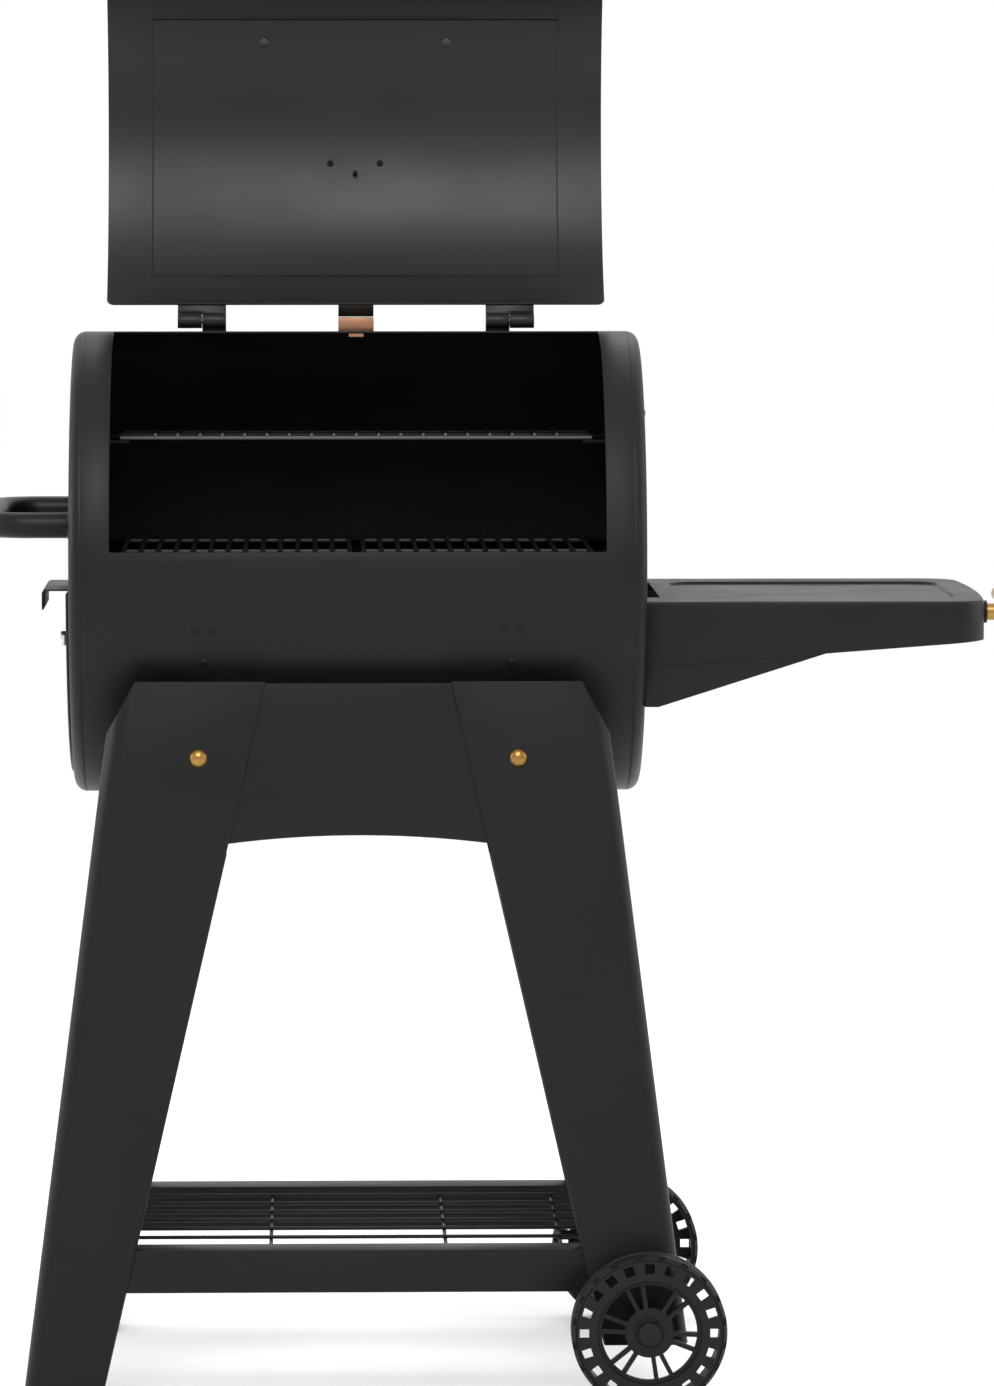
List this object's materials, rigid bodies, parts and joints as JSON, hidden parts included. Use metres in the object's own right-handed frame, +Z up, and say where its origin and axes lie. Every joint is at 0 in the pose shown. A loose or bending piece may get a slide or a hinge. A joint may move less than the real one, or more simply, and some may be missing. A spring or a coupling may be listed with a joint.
{
  "type": "barrel charcoal grill",
  "caption": "Barrel charcoal grill on splayed sheet legs with a swing-up lid, side shelf, push handle, charcoal drawer and wheels.",
  "frame": {"origin": "on the ground, under the middle of the whole grill's bounding box", "axes": "+Z up, +X towards the side shelf and the wheels, +Y towards the back, where the lid's hinges are"},
  "size_m": [1.1216, 0.6322, 1.4936],
  "materials": {
    "barrel_paint": "satin heat-proof charcoal-black paint",
    "satin_black": "satin black paint",
    "bare_steel": "plain steel",
    "copper": "brushed copper-coloured metal",
    "brass_bolt": "polished gold-coloured metal",
    "enamelled_iron": "enamelled rod",
    "wheel_plastic": "moulded black plastic",
    "tyre_rubber": "black tread",
    "foot_rubber": "black rubber",
    "dial_face": "printed dial",
    "needle_red": "red paint"
  },
  "bodies": {
    "frame": {"barrel_shell": "barrel_paint", "left_end_cap": "barrel_paint", "right_end_cap": "barrel_paint", "hinge_barrel_leaves": "satin_black", "lid_stop_bracket": "copper", "stop_backing_plate": "copper", "front_left_leg": "barrel_paint", "front_right_leg": "barrel_paint", "rear_left_leg": "barrel_paint", "rear_right_leg": "barrel_paint", "front_panel": "barrel_paint", "rear_panel": "barrel_paint", "leg_bolts": "brass_bolt", "left_saddle": "satin_black", "right_saddle": "satin_black", "barrel_screws": "satin_black", "front_beam": "barrel_paint", "rear_beam": "barrel_paint", "bottom_wires": "satin_black", "foot_pads": "foot_rubber", "axle": "bare_steel", "axle_caps": "wheel_plastic", "axle_spacers": "bare_steel", "side_shelf": "barrel_paint", "shelf_brackets": "barrel_paint", "shelf_bolts": "satin_black", "tool_bar": "brass_bolt", "tool_bar_rose": "satin_black", "push_handle": "satin_black", "handle_bolts": "bare_steel", "drawer_rails": "satin_black", "grate_ledges": "satin_black", "rack_brackets": "satin_black"},
    "lid": {"hinge_pins": "bare_steel", "hinge_lid_leaves": "barrel_paint", "lid_shell": "barrel_paint", "lid_stop_tab": "satin_black", "lid_handle_bar": "satin_black", "lid_handle_posts": "copper", "lid_handle_bolts": "bare_steel", "thermometer_case": "bare_steel", "thermometer_dial": "dial_face", "thermometer_screws": "bare_steel"},
    "needle": {"thermometer_needle": "needle_red"},
    "charcoal_drawer": {"drawer_front": "barrel_paint", "drawer_tab": "barrel_paint", "charcoal_pan": "satin_black", "charcoal_grate": "enamelled_iron"},
    "drawer_damper": {"damper_disc": "satin_black", "damper_knob": "bare_steel"},
    "exhaust": {"exhaust_damper": "satin_black", "exhaust_rivet": "bare_steel"},
    "left_cooking_grate": {"left_grate": "enamelled_iron"},
    "right_cooking_grate": {"right_grate": "enamelled_iron"},
    "rack": {"warming_rack": "bare_steel"},
    "front_wheel_body": {"front_wheel": "wheel_plastic", "front_tyre": "tyre_rubber"},
    "rear_wheel_body": {"rear_wheel": "wheel_plastic", "rear_tyre": "tyre_rubber"}
  },
  "joints": [
    {"name": "lid_hinge", "type": "hinge", "parent": "frame", "child": "lid", "pos_m": [-0.15675, 0.03, 1.1295], "axis": [1, 0, 0], "range_deg": [0, 140]},
    {"name": "needle_pivot", "type": "hinge", "parent": "lid", "child": "needle", "pos_m": [-0.15675, 0.13054, 1.28634], "axis": [0, 0.9711, -0.2385], "range_deg": [-270, 0]},
    {"name": "drawer_slide", "type": "slide", "parent": "frame", "child": "charcoal_drawer", "axis": [-1, 0, 0], "range_m": [0, 0.45]},
    {"name": "drawer_damper_pivot", "type": "hinge", "parent": "charcoal_drawer", "child": "drawer_damper", "pos_m": [-0.46265, 0, 0.789], "axis": [1, 0, 0], "range_deg": [0, 30]},
    {"name": "exhaust_damper_pivot", "type": "hinge", "parent": "frame", "child": "exhaust", "pos_m": [0.14575, -0.062, 0.997], "axis": [1, 0, 0], "range_deg": [0, 30]},
    {"name": "left_grate_lift", "type": "slide", "parent": "frame", "child": "left_cooking_grate", "axis": [0, 0, 1], "range_m": [0, 0.035]},
    {"name": "right_grate_lift", "type": "slide", "parent": "frame", "child": "right_cooking_grate", "axis": [0, 0, 1], "range_m": [0, 0.035]},
    {"name": "rack_lift", "type": "slide", "parent": "frame", "child": "rack", "axis": [0, 0, 1], "range_m": [0, 0.025]},
    {"name": "front_wheel_spin", "type": "hinge", "parent": "frame", "child": "front_wheel_body", "pos_m": [0.1462, -0.285, 0.0815], "axis": [0, 1, 0], "continuous": true},
    {"name": "rear_wheel_spin", "type": "hinge", "parent": "frame", "child": "rear_wheel_body", "pos_m": [0.1462, 0.285, 0.0815], "axis": [0, 1, 0], "continuous": true}
  ]
}
